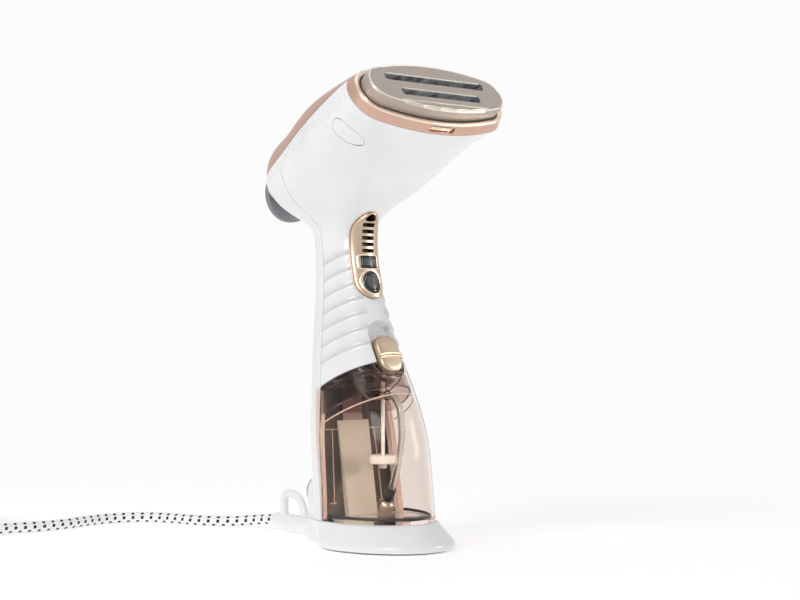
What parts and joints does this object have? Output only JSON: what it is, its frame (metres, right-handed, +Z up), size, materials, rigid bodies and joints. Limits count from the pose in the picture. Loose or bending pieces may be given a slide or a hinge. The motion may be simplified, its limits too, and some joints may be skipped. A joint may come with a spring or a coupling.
{
  "type": "garment steamer",
  "caption": "Handheld garment steamer with an oval steam plate, tilted head, clear water tank in the handle, foot to stand on and a braided mains lead.",
  "frame": {"origin": "middle of the foot's underside, on the surface that it stands on", "axes": "+Z up; the steam plate faces -Y and up; the mains lead leaves towards +Y; X is across the head"},
  "size_m": [0.3227, 0.389, 0.3196],
  "materials": {
    "white_gloss": "smooth glossy moulding",
    "rose_gold": "satin rose-gold lacquer",
    "champagne": "satin champagne lacquer",
    "steam_face": "warm grey brushed",
    "silicone": "matt",
    "cast_block": "as cast",
    "element": "dull",
    "mica": "matt sheet",
    "dark_plastic": "glossy",
    "board": "solder mask",
    "switch_black": "matt",
    "dial_grey": "satin",
    "tube": "clear silicone",
    "valve_white": "satin",
    "smoke_tank": "smoky clear plastic",
    "filter_metal": "polished",
    "cord_braid": "white braid with black flecks",
    "plug_white": "satin",
    "pin_metal": "nickel plated",
    "tie_black": "matt"
  },
  "bodies": {
    "housing": {"front_shell": "white_gloss", "head_cover": "rose_gold", "spine_shell": "white_gloss", "handle_floor": "white_gloss", "spine_column": "white_gloss", "face_bezel": "rose_gold", "bezel_clip": "rose_gold", "plate_gasket": "silicone", "steam_plate": "steam_face", "steam_chamber": "cast_block", "heater_block": "cast_block", "heating_element": "element", "mica_sheet": "mica", "thermostat": "element", "thermal_fuse": "mica", "control_panel": "champagne", "lens_strip": "dark_plastic", "circuit_board": "board", "power_switch": "switch_black", "steam_switch": "switch_black", "dial_valve": "switch_black", "rear_button_ring": "rose_gold", "rear_switch": "switch_black", "water_pump": "switch_black", "boiler_feed_tube": "tube", "pump_inlet_tube": "tube", "tank_socket": "valve_white", "foot": "white_gloss", "foot_pad": "silicone", "ballast_plate": "element", "foot_screws": "element", "cord_gland": "white_gloss", "inner_lead": "valve_white", "terminal_block": "switch_black", "cord_tube": "cord_braid", "cord_tail": "cord_braid", "cord_coil": "cord_braid", "cord_tie": "tie_black", "plug_body": "plug_white", "plug_relief": "plug_white", "plug_pins": "pin_metal"},
    "power_key": {"power_button": "dark_plastic"},
    "steam_key": {"steam_button": "dark_plastic"},
    "left_tab": {"left_release_tab": "white_gloss"},
    "right_tab": {"right_release_tab": "white_gloss"},
    "dial": {"rear_dial": "dial_grey"},
    "rear_key": {"rear_button": "white_gloss"},
    "tank": {"tank_shell": "smoke_tank", "tank_cap": "smoke_tank", "tank_seal": "silicone", "fill_plug": "silicone", "outlet_elbow": "smoke_tank", "pickup_hose": "tube", "hose_connector": "dark_plastic", "filter_weight": "filter_metal", "float_stem": "valve_white"},
    "float": {"level_float": "valve_white"},
    "latch": {"tank_latch": "champagne"}
  },
  "joints": [
    {"name": "power_press", "type": "slide", "parent": "housing", "child": "power_key", "axis": [0, 1, 0], "range_m": [0, 0.001], "stiffness_N_per_m": 900},
    {"name": "steam_press", "type": "slide", "parent": "housing", "child": "steam_key", "axis": [0, 1, 0], "range_m": [0, 0.0015], "stiffness_N_per_m": 900},
    {"name": "left_tab_press", "type": "slide", "parent": "housing", "child": "left_tab", "axis": [1, 0, 0], "range_m": [0, 0.001], "stiffness_N_per_m": 1500},
    {"name": "right_tab_press", "type": "slide", "parent": "housing", "child": "right_tab", "axis": [-1, 0, 0], "range_m": [0, 0.001], "stiffness_N_per_m": 1500},
    {"name": "dial_turn", "type": "hinge", "parent": "housing", "child": "dial", "pos_m": [0, 0.1, 0.245], "axis": [0, 1, 0], "range_deg": [-60, 60]},
    {"name": "rear_press", "type": "slide", "parent": "housing", "child": "rear_key", "axis": [0, -1, 0], "range_m": [0, 0.001], "stiffness_N_per_m": 900},
    {"name": "tank_slide", "type": "slide", "parent": "housing", "child": "tank", "axis": [0, -1, 0], "range_m": [0, 0.09]},
    {"name": "latch_slide", "type": "slide", "parent": "tank", "child": "latch", "axis": [0, 0.4226, 0.9063], "range_m": [0, 0.005], "stiffness_N_per_m": 600},
    {"name": "float_rise", "type": "slide", "parent": "tank", "child": "float", "axis": [0, 0, 1], "range_m": [0, 0.03]}
  ]
}
